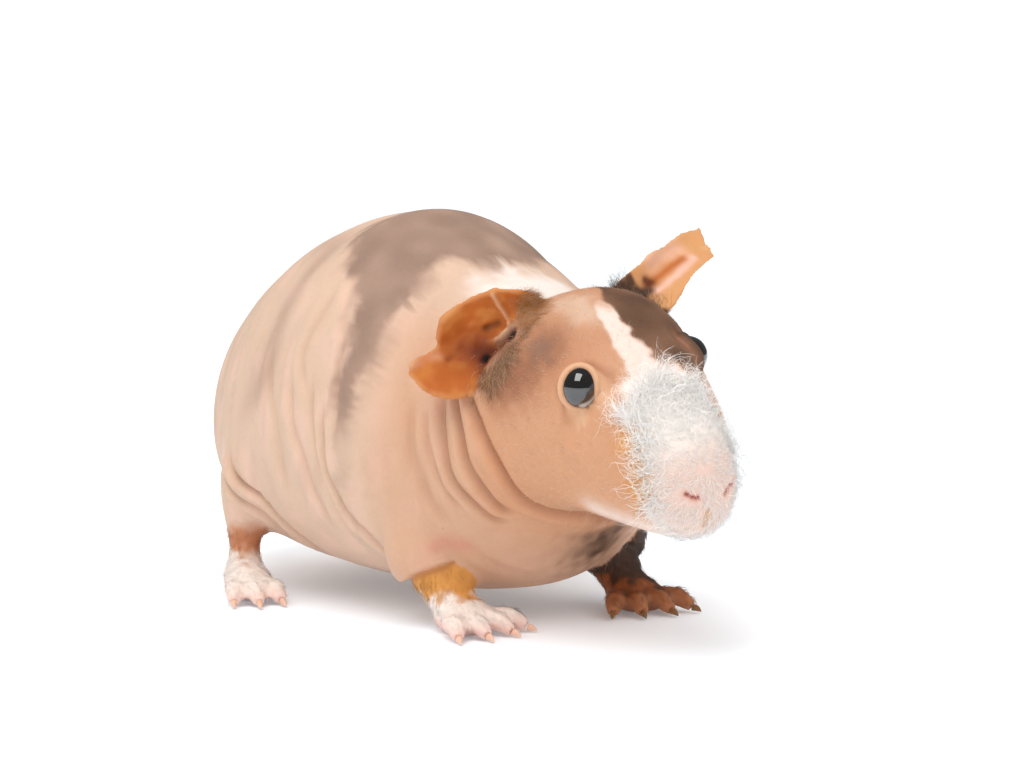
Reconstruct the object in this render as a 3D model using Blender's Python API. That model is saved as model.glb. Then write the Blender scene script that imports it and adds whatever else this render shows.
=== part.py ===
"""A hairless guinea pig standing on its four feet, life size, as a still museum model.

The animal faces -Y, its left side is +X and the floor is Z = 0. Every length is in metres
and comes from the dimensions below. The body is one loft through named cross-sections,
parted into trunk, neck and head by thin cuts. The legs, feet, ears, eyes and claws are
pieces of their own that meet it with a gap of a third of a millimetre.
"""

import math

import bmesh
import bpy
import numpy as np
from mathutils import Matrix, Vector

# ---------------------------------------------------------------- driving dimensions
MM = 0.001  # the tables below are in mm for an animal 205 mm long
PART_GAP = 0.3 * MM  # between pieces that touch
AROUND = 36  # facets round the body
EYE_RADIUS = 5.4 * MM
EAR_THICKNESS = 1.5 * MM
TOE_RADIUS = 2.4 * MM
CLAW_RADIUS = 1.0 * MM

# Cross-sections from rump to nose. ahead: towards the nose from the middle of the body.
# side: how far the section's middle lies to the left. half_width, top, widest and bottom:
# its size and its heights over the floor. roll and yaw: degrees that the section leans and
# turns to the animal's right. over, under: how square its upper and lower halves are, where
# 2 is an ellipse.
BODY_SECTIONS = [
    # name        ahead    side half_width top widest bottom roll yaw over under
    ("tail_end", -96.0, 0.0, 0.5, 45.0, 44.5, 44.0, 0, 0, 2.0, 2.0),
    ("rump_cap", -95.0, 0.0, 11.5, 58.0, 44.0, 31.0, 0, 0, 2.0, 2.0),
    ("rump", -89.0, 0.0, 24.5, 71.0, 42.0, 19.0, 0, 0, 2.0, 2.1),
    ("buttocks", -77.0, 0.0, 34.5, 81.5, 40.5, 12.0, 0, 0, 2.0, 2.2),
    ("hips", -58.5, 0.0, 41.5, 91.5, 39.5, 8.5, 0, 0, 2.0, 2.4),
    ("loin", -38.0, 0.0, 45.5, 98.5, 40.0, 6.5, 0, 0, 2.0, 2.4),
    ("ribs", -17.0, 0.0, 46.5, 101.5, 41.0, 6.0, 0, 0, 2.0, 2.4),
    ("chest", 4.0, 0.0, 44.5, 94.3, 41.0, 5.5, 0, 0, 2.0, 2.3),
    ("shoulders", 22.0, 0.0, 40.0, 84.8, 42.0, 6.5, 0, 0, 2.0, 2.2),
    ("neck_base", 37.0, -0.5, 35.0, 80.5, 45.0, 10.5, 2, 1, 2.0, 2.1),
    ("nape", 47.0, -1.0, 31.0, 83.5, 48.5, 22.0, 6, 3, 2.1, 2.1),
    ("crown", 57.0, -2.0, 27.5, 85.5, 50.5, 32.0, 10, 5, 2.2, 2.2),
    ("brow", 67.0, -2.8, 25.0, 85.0, 50.0, 33.0, 12, 5, 2.3, 2.2),
    ("eyes", 76.0, -3.5, 23.0, 79.5, 48.5, 32.0, 12, 5, 2.4, 2.2),
    ("bridge", 86.0, -4.3, 19.0, 72.0, 46.0, 30.5, 12, 5, 2.3, 2.2),
    ("muzzle", 95.0, -5.1, 14.8, 65.0, 44.0, 29.5, 12, 5, 2.3, 2.2),
    ("snout", 101.5, -5.7, 11.7, 58.5, 43.5, 29.5, 12, 5, 2.2, 2.2),
    ("lips", 105.7, -6.0, 8.4, 53.0, 43.0, 33.0, 12, 5, 2.1, 2.1),
    ("nose", 107.6, -6.2, 5.0, 48.5, 43.5, 38.5, 12, 5, 2.0, 2.0),
    ("nose_end", 108.0, -6.2, 0.5, 44.0, 43.5, 43.0, 12, 5, 2.0, 2.0),
]
NAMES = [row[0] for row in BODY_SECTIONS]
SECTIONS = np.array([row[1:] for row in BODY_SECTIONS], float)
NECK_CUT = NAMES.index("neck_base") - 0.4
HEAD_CUT = NAMES.index("nape") + 0.3


# ---------------------------------------------------------------- shape functions
def smooth(table, at):
    """Rows of the table as one smooth curve: a Catmull-Rom spline through them."""
    table, at = np.asarray(table, float), np.atleast_1d(np.asarray(at, float))
    last = len(table) - 1
    i = np.clip(np.floor(at).astype(int), 0, last - 1)
    f = (at - i)[:, None]
    before, start, end, after = (
        table[np.clip(i + k, 0, last)] for k in (-1, 0, 1, 2)
    )
    return 0.5 * (
        2 * start
        + (end - before) * f
        + (2 * before - 5 * start + 4 * end - after) * f**2
        + (3 * start - before - 3 * end + after) * f**3
    )


def power(wave, square):
    """A sine or cosine drawn towards a square's corners."""
    return np.sign(wave) * np.abs(wave) ** (2 / square)


def body_ring(at, grow=0.0):
    """One cross-section of the body: (AROUND, 3) points, grown outwards if asked."""
    row = smooth(SECTIONS, at)[0]
    ahead, side, wide, top, widest, bottom = row[:6] * MM
    roll, yaw, over, under = row[6:]
    width = max(wide, 0.3 * MM) + grow
    turn = 2 * math.pi * np.arange(AROUND) / AROUND
    c, s = np.cos(turn), np.sin(turn)
    square = np.where(s > 0, over, under)
    across = width * power(c, square)
    tall = np.where(s > 0, max(top - widest, 0.2 * MM), max(widest - bottom, 0.2 * MM)) + grow
    height = tall * power(s, square) + widest
    middle = (top + bottom) / 2
    lean, turned = math.radians(roll), math.radians(yaw)
    left = np.array([math.cos(turned), -math.sin(turned), 0.0])
    up = np.array([0.0, 0.0, 1.0])
    sideways = math.cos(lean) * left + math.sin(lean) * up
    upwards = math.cos(lean) * up - math.sin(lean) * left
    centre = np.array([side, -ahead, middle])
    return centre + across[:, None] * sideways + (height - middle)[:, None] * upwards


def body_rings(stations, grow=0.0):
    return np.array([body_ring(at, grow) for at in stations])


def tube_rings(path, sizes, around, steps, grow=0.0):
    """Rings along a smooth path that never runs sideways. sizes holds the half-width and
    half-height at each point."""
    at = np.linspace(0, len(path) - 1, steps)
    points, radii = smooth(path, at), smooth(sizes, at) + grow
    ahead = np.gradient(points, axis=0)
    ahead /= np.linalg.norm(ahead, axis=1)[:, None]
    points[0] -= ahead[0] * grow
    points[-1] += ahead[-1] * grow
    turn = 2 * math.pi * np.arange(around) / around
    rings = []
    for centre, forward, (width, height) in zip(points, ahead, radii):
        across = np.array([1.0, 0.0, 0.0]) - forward[0] * forward
        across /= np.linalg.norm(across)
        upwards = np.cross(across, forward)
        rings.append(
            centre
            + np.outer(np.cos(turn) * width, across)
            + np.outer(np.sin(turn) * height, upwards)
        )
    return np.array(rings)


# ---------------------------------------------------------------- Blender helpers
def clear_scene():
    for old in list(bpy.data.objects):
        bpy.data.objects.remove(old)


def collection(name):
    made = bpy.data.collections.new(name)
    bpy.context.scene.collection.children.link(made)
    return made


def material(name, colour, roughness):
    made = bpy.data.materials.new(name)
    made.use_nodes = True
    shader = made.node_tree.nodes["Principled BSDF"]
    shader.inputs["Base Color"].default_value = (*colour, 1)
    shader.inputs["Roughness"].default_value = roughness
    shader.inputs["Metallic"].default_value = 0.0
    return made


def add_mesh(name, bm, home, finish=None, smooth_angle=40):
    """Turns a bmesh into an object of the collection, shaded smooth."""
    bmesh.ops.recalc_face_normals(bm, faces=bm.faces)
    mesh = bpy.data.meshes.new(name)
    bm.to_mesh(mesh)
    bm.free()
    mesh.shade_smooth()
    mesh.set_sharp_from_angle(angle=math.radians(smooth_angle))
    made = bpy.data.objects.new(name, mesh)
    home.objects.link(made)
    if finish:
        mesh.materials.append(finish)
    else:
        made.hide_render = True
        made.display_type = "WIRE"
    return made


def loft(name, rings, home, finish=None):
    """A closed solid through the rings, with a flat cap at each end."""
    bm = bmesh.new()
    rows = [[bm.verts.new(p) for p in ring] for ring in rings]
    around = len(rows[0])
    for one, two in zip(rows, rows[1:]):
        for k in range(around):
            bm.faces.new((one[k], one[(k + 1) % around], two[(k + 1) % around], two[k]))
    bm.faces.new(rows[0])
    bm.faces.new(rows[-1])
    return add_mesh(name, bm, home, finish)


def boolean(target, other, operation):
    change = target.modifiers.new(f"{operation.lower()}_{other.name}", "BOOLEAN")
    change.operation = operation
    change.object = other


def ball(name, centre, radius, home, finish=None, segments=16, rings=10, axis=(0, 0, 1)):
    bm = bmesh.new()
    bmesh.ops.create_uvsphere(bm, u_segments=segments, v_segments=rings, radius=radius)
    turn = Vector((0, 0, 1)).rotation_difference(Vector(axis)).to_matrix().to_4x4()
    bmesh.ops.transform(bm, matrix=Matrix.Translation(centre) @ turn, verts=bm.verts)
    return add_mesh(name, bm, home, finish)


# ---------------------------------------------------------------- legs and feet
# Paths in mm for the animal's right side, from inside the trunk down to the wrist or ankle.
# mirror turns them to the left side, and shift moves the whole limb in its stance.
FRONT_LEG = {
    "path": [
        (-22, -20, 38), (-26.5, -21.5, 28), (-28, -22, 19.5),
        (-26.2, -25.4, 13.3), (-26.0, -28.8, 9.3), (-26.0, -32, 6.8),
    ],
    "sizes": [(13, 13), (12, 12), (9.3, 9.3), (7.2, 7.2), (6.8, 6.4), (6.2, 5.6)],
}
HIND_LEG = {
    "path": [(-27, 42, 36), (-35, 48, 27), (-39, 50, 19), (-40, 50, 13), (-40.5, 47.5, 7.5)],
    "sizes": [(17, 17), (14, 14), (7.4, 7.4), (4.5, 4.5), (5.0, 4.8)],
}
# A foot: the palm is a short flat tube from the wrist to the roots of the toes. The toes
# spread as a fan. spread: half the width of the toes' roots, fan: the angle they open over.
FRONT_FOOT = {
    "palm": [(-26.4, -30.5, 4.8), (-26, -36, 4.2), (-25, -42, 2.7)],
    "sizes": [(5.6, 5.2), (7.2, 4.9), (7.0, 3.2)],
    "toes": 4, "spread": 6.4, "fan": 62, "toe": 9.3, "claw": 2.6,
}
HIND_FOOT = {
    "palm": [(-40.8, 49.5, 5.2), (-43.5, 42.5, 4.2), (-46.5, 35, 3.8), (-48.5, 29.5, 2.8)],
    "sizes": [(4.6, 5.4), (5.8, 4.9), (6.2, 4.4), (5.8, 3.2)],
    "toes": 3, "spread": 4.2, "fan": 20, "toe": 11.4, "claw": 3.4,
}
LIMBS = {
    "front_right": (FRONT_LEG, FRONT_FOOT, 1, (0, 0, 0)),
    "front_left": (FRONT_LEG, FRONT_FOOT, -1, (1.5, 2.5, 0)),
    "hind_right": (HIND_LEG, HIND_FOOT, 1, (0, 0, 0)),
    "hind_left": (HIND_LEG, HIND_FOOT, -1, (0, 4, 0)),
}


def placed(points, side, shift):
    """Right-side points in mm, mirrored to the side asked for, in metres."""
    return (np.array(points, float) * (side, 1, 1) + shift) * MM


def toe_line(foot, side, shift, number):
    """Root, knuckle and tip of one toe, and its forward direction."""
    palm = placed(foot["palm"], side, shift)
    ahead = palm[-1] - palm[-2]
    ahead = np.array([ahead[0], ahead[1], 0.0]) / math.hypot(ahead[0], ahead[1])
    across = np.array([-ahead[1], ahead[0], 0.0])
    share = 2 * number / (foot["toes"] - 1) - 1
    angle = math.radians(share * foot["fan"] / 2)
    forward = math.cos(angle) * ahead + math.sin(angle) * across
    length = foot["toe"] * (1 - 0.16 * share**2) * MM
    root = palm[-1] + share * foot["spread"] * MM * across - 3.5 * MM * ahead
    root[2] = 3.1 * MM
    knuckle = root + forward * length * 0.62 + np.array([0, 0, 0.7 * MM])
    tip = root + forward * (length + 1.5 * MM)
    tip[2] = 1.5 * MM
    return root, knuckle, tip


def make_foot(limb, foot, side, shift, parts, cutters, skin, horn):
    palm = tube_rings(placed(foot["palm"], side, shift), np.array(foot["sizes"]) * MM, 14, 6)
    whole = loft(f"foot_{limb}", palm, parts, skin)
    for number in range(foot["toes"]):
        root, knuckle, tip = toe_line(foot, side, shift, number)
        thick = TOE_RADIUS * np.array([(1.22, 1.1), (1.14, 1.08), (0.78, 0.7)])
        rings = tube_rings([root, knuckle, tip], thick, 8, 5)
        boolean(whole, loft(f"toe_{limb}_{number + 1}", rings, cutters), "UNION")
        ahead = (tip - knuckle) / np.linalg.norm(tip - knuckle)
        start = tip + ahead * PART_GAP * 1.5
        end = start + ahead * foot["claw"] * MM
        end[2] = 0.55 * MM
        path = [start, (start + end) / 2 + (0, 0, 0.1 * MM), end]
        thin = CLAW_RADIUS * np.array([(0.95, 1.1), (0.8, 0.9), (0.3, 0.3)])
        loft(f"claw_{limb}_{number + 1}", tube_rings(path, thin, 7, 4), parts, horn)
    boolean(whole, bpy.data.objects["floor_cutter"], "DIFFERENCE")
    return whole


def make_limb(limb, parts, cutters, skin, horn):
    leg, foot, side, shift = LIMBS[limb]
    path, sizes = placed(leg["path"], side, shift), np.array(leg["sizes"]) * MM
    upper = loft(f"leg_{limb}", tube_rings(path, sizes, 16, 10), parts, skin)
    boolean(upper, bpy.data.objects["body_clearance"], "DIFFERENCE")
    whole = make_foot(limb, foot, side, shift, parts, cutters, skin, horn)
    clearance = loft(f"clearance_{limb}", tube_rings(path, sizes, 16, 10, PART_GAP), cutters)
    boolean(whole, clearance, "DIFFERENCE")


# ---------------------------------------------------------------- ears
# Each ear is a leaf between its root on the head and its free edge, in mm. The edge has two
# lobes with a notch between them. hollow: how far the leaf's middle is pressed back.
EARS = {
    "ear_right": {
        "root": [(-15, -57, 80), (-19.5, -54, 76), (-23, -52, 71.5), (-26.5, -49, 65.5)],
        "edge": [
            (-20, -57.5, 84.5), (-26.5, -52, 85.5), (-33, -46.5, 82.3), (-38, -43.5, 77), (-37, -41, 71),
            (-41.5, -39.5, 69), (-44.4, -39.5, 65.5), (-41, -43, 60.5), (-35, -46, 58.8), (-30.5, -47, 60.5),
        ],
        "hollow": 3.5,
        "cupping": 1.0,
        "behind": (0.45, 0.85, 0.1),
    },
    "ear_left": {
        "root": [(10.5, -46.5, 79), (13, -50, 78.3), (15.3, -53.3, 77.3), (17, -56.5, 75.8)],
        "edge": [
            (11.5, -46.2, 83.5), (15, -45.2, 86.5), (31, -39.5, 93.3), (47.5, -32.8, 97.3), (48.5, -34.5, 96.1),
            (46.7, -38.1, 93.8), (46.5, -42.4, 91), (42.1, -45.4, 89.6), (37.4, -47.6, 87.9), (30, -52, 84),
            (24, -55.5, 79.8),
        ],
        "hollow": 1.5,
        "cupping": 1.5,
        "behind": (-0.2, 0.75, 0.6),
    },
}


def ear_surface(ear, long_steps=7, wide_steps=17):
    """Grid of points on an ear's middle surface, from its root to its free edge."""
    at = np.linspace(0, 1, wide_steps)
    root = smooth(ear["root"], at * (len(ear["root"]) - 1)) * MM
    edge = smooth(ear["edge"], at * (len(ear["edge"]) - 1)) * MM
    behind = np.array(ear["behind"]) * ear["hollow"] * MM
    press = np.sin(math.pi * at).clip(0, 1)[:, None] ** ear["cupping"]
    rows = []
    for out in np.linspace(0, 1, long_steps):
        line = root * (1 - out) + edge * out
        rows.append(line + press * math.sin(math.pi * out**0.8) * behind)
    return np.array(rows)


def make_ear(name, parts, skin):
    """The leaf given its thickness, which falls towards the free edge, as one closed loft."""
    grid = ear_surface(EARS[name])
    outwards, across = np.gradient(grid, axis=0), np.gradient(grid, axis=1)
    normal = np.cross(outwards, across)
    normal /= np.linalg.norm(normal, axis=2)[:, :, None]
    thin = EAR_THICKNESS / 2 * (1 - 0.45 * np.linspace(0, 1, len(grid)) ** 2)
    offset = normal * thin[:, None, None]
    front, back = grid + offset, grid - offset
    rings = np.concatenate([front, back[::-1]]).transpose(1, 0, 2)
    made = loft(name, rings, parts, skin)
    boolean(made, bpy.data.objects["body_clearance"], "DIFFERENCE")


# ---------------------------------------------------------------- head details
def on_head(section, turn_degrees, depth=0.0):
    """A point on the body's surface at a section and an angle round it, moved inwards."""
    ring = body_ring(section)
    at = (turn_degrees % 360) / 360 * AROUND
    low = int(at)
    share = at - low
    point = ring[low % AROUND] * (1 - share) + ring[(low + 1) % AROUND] * share
    inward = ring.mean(axis=0) - point
    return point + inward / np.linalg.norm(inward) * depth


EYE_SECTION = NAMES.index("eyes") + 0.38
EYE_TURNS = {"eye_left": 44, "eye_right": 136}
EYE_DEPTH = 3.6 * MM


def make_eyes(head, parts, cutters, glass):
    for name, turn in EYE_TURNS.items():
        centre = on_head(EYE_SECTION, turn, EYE_DEPTH)
        outward = on_head(EYE_SECTION, turn) - centre
        ball(name, centre, EYE_RADIUS, parts, glass, axis=outward)
        socket = ball(f"socket_{name}", centre, EYE_RADIUS + PART_GAP, cutters, axis=outward)
        boolean(head, socket, "DIFFERENCE")


# ---------------------------------------------------------------- the whole animal
def make_floor_cutter(cutters):
    bm = bmesh.new()
    bmesh.ops.create_cube(bm, size=1)
    size = Matrix.Diagonal((0.4, 0.4, 0.05, 1))
    bmesh.ops.transform(bm, matrix=Matrix.Translation((0, 0, -0.025)) @ size, verts=bm.verts)
    add_mesh("floor_cutter", bm, cutters)


def make_body(parts, cutters, skin, glass):
    half_gap = 0.011  # of a section's length, which is 14 mm at the neck
    trunk = np.linspace(0, NECK_CUT - half_gap, 24)
    neck = np.linspace(NECK_CUT + half_gap, HEAD_CUT - half_gap, 5)
    head = np.linspace(HEAD_CUT + half_gap, len(NAMES) - 1, 21)
    loft("trunk", body_rings(trunk), parts, skin)
    loft("neck", body_rings(neck), parts, skin)
    skull = loft("head", body_rings(head), parts, skin)
    whole = np.concatenate([trunk, neck, head])
    loft("body_clearance", body_rings(whole, 1.5 * PART_GAP), cutters)
    make_eyes(skull, parts, cutters, glass)


def centre_on_origin(homes):
    """Moves everything so that the model's box is centred over the origin, on the floor."""
    bpy.context.view_layer.update()
    graph = bpy.context.evaluated_depsgraph_get()
    corners = np.array([
        piece.evaluated_get(graph).matrix_world @ Vector(corner)
        for piece in homes[0].objects
        for corner in piece.evaluated_get(graph).bound_box
    ])
    low, high = corners.min(axis=0), corners.max(axis=0)
    move = Matrix.Translation((-(low[0] + high[0]) / 2, -(low[1] + high[1]) / 2, 0))
    for home in homes:
        for piece in home.objects:
            piece.data.transform(move)
    print("centred by", [round(1000 * x, 2) for x in move.translation])


def main():
    clear_scene()
    parts, cutters = collection("guinea_pig"), collection("cutters")
    skin = material("skin", (0.72, 0.47, 0.33), 0.55)
    ear_skin = material("ear_skin", (0.55, 0.20, 0.06), 0.55)
    horn = material("claw", (0.80, 0.62, 0.50), 0.35)
    glass = material("eye", (0.01, 0.01, 0.012), 0.08)
    make_floor_cutter(cutters)
    make_body(parts, cutters, skin, glass)
    for limb in LIMBS:
        make_limb(limb, parts, cutters, skin, horn)
    for name in EARS:
        make_ear(name, parts, ear_skin)
    centre_on_origin([parts, cutters])


main()
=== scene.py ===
import math

import bmesh
import bpy
import numpy as np
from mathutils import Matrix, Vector


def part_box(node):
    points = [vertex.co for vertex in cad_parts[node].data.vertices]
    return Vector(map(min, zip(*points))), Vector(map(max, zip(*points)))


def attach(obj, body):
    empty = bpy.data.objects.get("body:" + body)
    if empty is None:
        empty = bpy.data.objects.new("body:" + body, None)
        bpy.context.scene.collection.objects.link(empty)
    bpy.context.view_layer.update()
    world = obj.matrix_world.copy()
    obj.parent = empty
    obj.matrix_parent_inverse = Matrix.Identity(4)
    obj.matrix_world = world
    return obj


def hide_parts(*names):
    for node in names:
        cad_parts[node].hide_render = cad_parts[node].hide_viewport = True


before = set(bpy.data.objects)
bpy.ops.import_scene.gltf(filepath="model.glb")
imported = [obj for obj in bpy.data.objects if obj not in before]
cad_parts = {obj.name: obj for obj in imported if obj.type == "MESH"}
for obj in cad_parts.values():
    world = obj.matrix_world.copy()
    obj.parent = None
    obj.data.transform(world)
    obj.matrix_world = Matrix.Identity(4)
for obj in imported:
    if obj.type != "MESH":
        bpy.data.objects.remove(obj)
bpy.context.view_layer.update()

mm = 0.001
trunkLow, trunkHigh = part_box("trunk")
# body places are in millimetres: x to the animal's left, y towards its rump, z up from the floor,
# with the trunk's rear end at y = 96
bodyOrigin = np.array([(trunkLow.x + trunkHigh.x) / 2, trunkHigh.y - 96 * mm, 0.0])


def toBody(points):
    return (np.asarray(points, float) - bodyOrigin) / mm


def fromBody(points):
    return np.asarray(points, float) * mm + bodyOrigin


def ramp(value, low, high):
    # 0 below low, 1 above high, and an eased rise between them
    share = np.clip((value - low) / (high - low), 0, 1)
    return share * share * (3 - 2 * share)


def bell(value, width):
    return np.exp(-((value / width) ** 2))


def unit(vectors):
    return vectors / np.maximum(np.linalg.norm(vectors, axis=-1, keepdims=True), 1e-12)


def softNoise(points, size, seed, stretch=(1, 1, 1)):
    # twelve plane waves in random directions, about -1 to 1, with bumps roughly size mm across
    rng = np.random.default_rng(seed)
    ways = unit(rng.normal(size=(12, 3))) * rng.uniform(0.6, 1.5, (12, 1)) / np.array(stretch)
    phases = rng.uniform(0, 2 * math.pi, 12)
    return np.sin(points @ ways.T * (math.pi / size) + phases).sum(axis=1) / 3.2


def lineThrough(knots, at, spread=4.0):
    # the line through the knots, with its corners rounded over about spread units
    across, along = np.array(knots, float).T
    fine = np.linspace(across[0] - 30, across[-1] + 30, 400)
    step = fine[1] - fine[0]
    reach = np.arange(-25, 26) * step
    weights = bell(reach, spread)
    padded = np.pad(np.interp(fine, across, along), 25, mode="edge")
    return np.interp(at, fine, np.convolve(padded, weights / weights.sum(), "valid"))


skull = {"centre": (-3.5, -76.0, 55.0), "yaw": 5.0, "roll": 12.0}


def awayFrom(points, place, scale=(1, 1, 1)):
    # distance from each point to a place, in units of the scale along each axis
    return np.linalg.norm((points - np.array(place)) / np.array(scale), axis=1)


def alongStroke(points, stroke):
    # distance from each point to a bent line through the stroke's places
    best = np.full(len(points), 1e9)
    for start, end in zip(stroke[:-1], stroke[1:]):
        start, end = np.array(start), np.array(end)
        way = end - start
        share = np.clip((points - start) @ way / (way @ way), 0, 1)
        best = np.minimum(best, np.linalg.norm(points - start - share[:, None] * way, axis=1))
    return best


def skullAxes():
    yaw, roll = math.radians(skull["yaw"]), math.radians(skull["roll"])
    ahead = np.array([-math.sin(yaw), -math.cos(yaw), 0.0])
    level = np.array([math.cos(yaw), -math.sin(yaw), 0.0])
    upright = np.array([0.0, 0.0, 1.0])
    left = math.cos(roll) * level + math.sin(roll) * upright
    return np.array([ahead, left, math.cos(roll) * upright - math.sin(roll) * level])


headAxes = skullAxes()


def toHead(points):
    # ahead, left and up of the skull's middle, in mm
    return (points - np.array(skull["centre"])) @ headAxes.T


def fromHead(places):
    return np.asarray(places, float) @ headAxes + np.array(skull["centre"])


def roundBody(points):
    # degrees round the body's long axis: 0 along the spine, positive down the right side
    bend = np.where(points[:, 1] > -40, 0.0, 0.06 * (points[:, 1] + 40))
    return np.degrees(np.arctan2(-(points[:, 0] - bend), points[:, 2] - 46))


def readArray(items, name, width=1, kind=np.int32):
    # one property of all the items, in rows of width numbers
    values = np.empty(len(items) * width, kind)
    items.foreach_get(name, values)
    return values.reshape(-1, width) if width > 1 else values


def edgesOf(mesh):
    return readArray(mesh.edges, "vertices", 2)


def pointsOf(mesh):
    return readArray(mesh.vertices, "co", 3, np.float32).astype(float)


def trianglesOf(mesh):
    mesh.calc_loop_triangles()
    return readArray(mesh.loop_triangles, "vertices", 3)


def regionsOf(mesh):
    # how far each point belongs to an ear, a foot and a leg
    return readArray(mesh.attributes["region"].data, "vector", 3, np.float32).astype(float).T


def moveTo(mesh, points):
    mesh.vertices.foreach_set("co", fromBody(points).astype(np.float32).ravel())
    mesh.update()


def normalsFor(points, triangles):
    # each point's normal is the sum of its triangles' area vectors, made unit length
    a, b, c = (points[triangles[:, k]] for k in range(3))
    faceNormals = np.cross(b - a, c - a)
    total = np.zeros_like(points)
    for corner in range(3):
        for axis in range(3):
            total[:, axis] += np.bincount(triangles[:, corner], faceNormals[:, axis], len(points))
    return unit(total)


def relax(points, edges, amount, rounds):
    # each round moves every point part of the way to the middle of its neighbours
    first, second = edges.T
    size = len(points)
    count = np.maximum(np.bincount(first, minlength=size) + np.bincount(second, minlength=size), 1)
    for _ in range(rounds):
        middle = np.empty_like(points)
        for axis in range(3):
            column = points[:, axis]
            total = np.bincount(first, column[second], size) + np.bincount(second, column[first], size)
            middle[:, axis] = total / count
        points = points + (middle - points) * amount[:, None]
    return points


def newPiece(name, points, faces, material, smooth=True):
    mesh = bpy.data.meshes.new(name)
    mesh.from_pydata(points, [], faces)
    mesh.materials.append(material)
    mesh.polygons.foreach_set("use_smooth", np.full(len(mesh.polygons), smooth))
    mesh.update()
    piece = bpy.data.objects.new(name, mesh)
    bpy.context.scene.collection.objects.link(piece)
    return piece


def colourOfHex(text):
    # a hex colour as linear red, green and blue
    values = np.array([int(text[k : k + 2], 16) for k in (0, 2, 4)]) / 255
    return np.where(values <= 0.04045, values / 12.92, ((values + 0.055) / 1.055) ** 2.4)


class Value:
    # wraps a node's socket, so that maths on it adds Math nodes
    def __init__(self, nodes, socket):
        self.nodes, self.socket = nodes, socket

    def maths(self, operation, a, b):
        return self.nodes.node("ShaderNodeMath", {"operation": operation}, {0: a, 1: b})

    def __add__(self, other):
        return self.maths("ADD", self, other)

    __radd__ = __add__

    def __sub__(self, other):
        return self.maths("SUBTRACT", self, other)

    def __rsub__(self, other):
        return self.maths("SUBTRACT", other, self)

    def __mul__(self, other):
        return self.maths("MULTIPLY", self, other)

    __rmul__ = __mul__


class Nodes:
    # makes the nodes of one tree: settings first, then values or links for the sockets
    def __init__(self, tree):
        self.tree, self.spot = tree, 0

    def node(self, kind, settings=None, inputs=None, output=0):
        made = self.tree.nodes.new(kind)
        self.spot += 1
        made.location = (-220 * (1 + self.spot // 5), 260 - 200 * (self.spot % 5))
        for name, value in (settings or {}).items():
            setattr(made, name, value)
        for name, value in (inputs or {}).items():
            if isinstance(value, Value):
                self.tree.links.new(value.socket, made.inputs[name])
            else:
                made.inputs[name].default_value = value
        return Value(self, made.outputs[output])


class Shader(Nodes):
    def __init__(self, name, constants):
        self.material = bpy.data.materials.new(name)
        self.material.use_nodes = True
        super().__init__(self.material.node_tree)
        self.surface = self.tree.nodes["Principled BSDF"]
        for socket, value in constants.items():
            self.surface.inputs[socket].default_value = value

    def feed(self, socket, value):
        self.tree.links.new(value.socket, self.surface.inputs[socket])

    def place(self, scale):
        coordinates = self.node("ShaderNodeTexCoord", output="Object")
        settings = {"operation": "MULTIPLY"}
        return self.node("ShaderNodeVectorMath", settings, {0: coordinates, 1: scale})

    def noise(self, scale, detail=3.0, roughness=0.5, stretch=(1, 1, 1)):
        where = self.place(tuple(scale * s for s in stretch))
        values = {"Vector": where, "Scale": 1.0, "Detail": detail, "Roughness": roughness}
        return self.node("ShaderNodeTexNoise", inputs=values, output="Fac")

    def attribute(self, name, output="Fac"):
        return self.node("ShaderNodeAttribute", {"attribute_name": name}, output=output)

    def blend(self, factor, first, second, how="MIX"):
        settings = {"data_type": "RGBA", "blend_type": how}
        return self.node("ShaderNodeMix", settings, {0: factor, 6: first, 7: second}, output=2)

    def bump(self, height, strength, distance, under=None):
        values = {"Height": height, "Strength": strength, "Distance": distance}
        if under is not None:
            values["Normal"] = under
        return self.node("ShaderNodeBump", inputs=values, output="Normal")


skinMaking = {
    "fleshNodes": [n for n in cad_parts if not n.startswith(("claw", "eye"))],
    "swell": 0.36,  # mm that each solid grows by, so that the thin gaps between them close
    "grain": 0.68,  # mm between points after the remesh
    "rounds": 150,
    "trunkShare": 0.13,  # share of the trunk's triangles that is kept between the folds
    "neckShare": 0.35,
}


def copiedSolid(name):
    # a copy of a solid with its doubles merged, its points moved out along their normals
    bm = bmesh.new()
    bm.from_mesh(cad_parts[name].data)
    bmesh.ops.remove_doubles(bm, verts=bm.verts, dist=1e-6)
    bm.normal_update()
    swell = skinMaking["swell"] * mm * (0.5 if name.startswith("ear") else 1.0)
    points = np.array([v.co + v.normal * swell for v in bm.verts])
    faces = [[v.index for v in f.verts] for f in bm.faces]
    bm.free()
    return points, faces


def joinedSolids():
    regions = {"ear": (1, 0, 0), "foot": (0, 1, 0), "leg": (0, 0, 1), "eye": (0, 0, 0)}
    points, faces, marks = [], [], []
    for name in skinMaking["fleshNodes"] + ["eye_left", "eye_right"]:
        solid, solidFaces = copiedSolid(name)
        start = sum(len(p) for p in points)
        points.append(solid)
        faces += [[start + i for i in face] for face in solidFaces]
        marks.append(np.tile(regions.get(name.split("_")[0], (0, 0, 0)), (len(solid), 1)))
    mesh = bpy.data.meshes.new("solids")
    mesh.from_pydata(np.concatenate(points), [], faces)
    region = mesh.attributes.new("region", "FLOAT_VECTOR", "POINT")
    region.data.foreach_set("vector", np.concatenate(marks).astype(np.float32).ravel())
    joined = bpy.data.objects.new("solids", mesh)
    bpy.context.scene.collection.objects.link(joined)
    return joined


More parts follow.
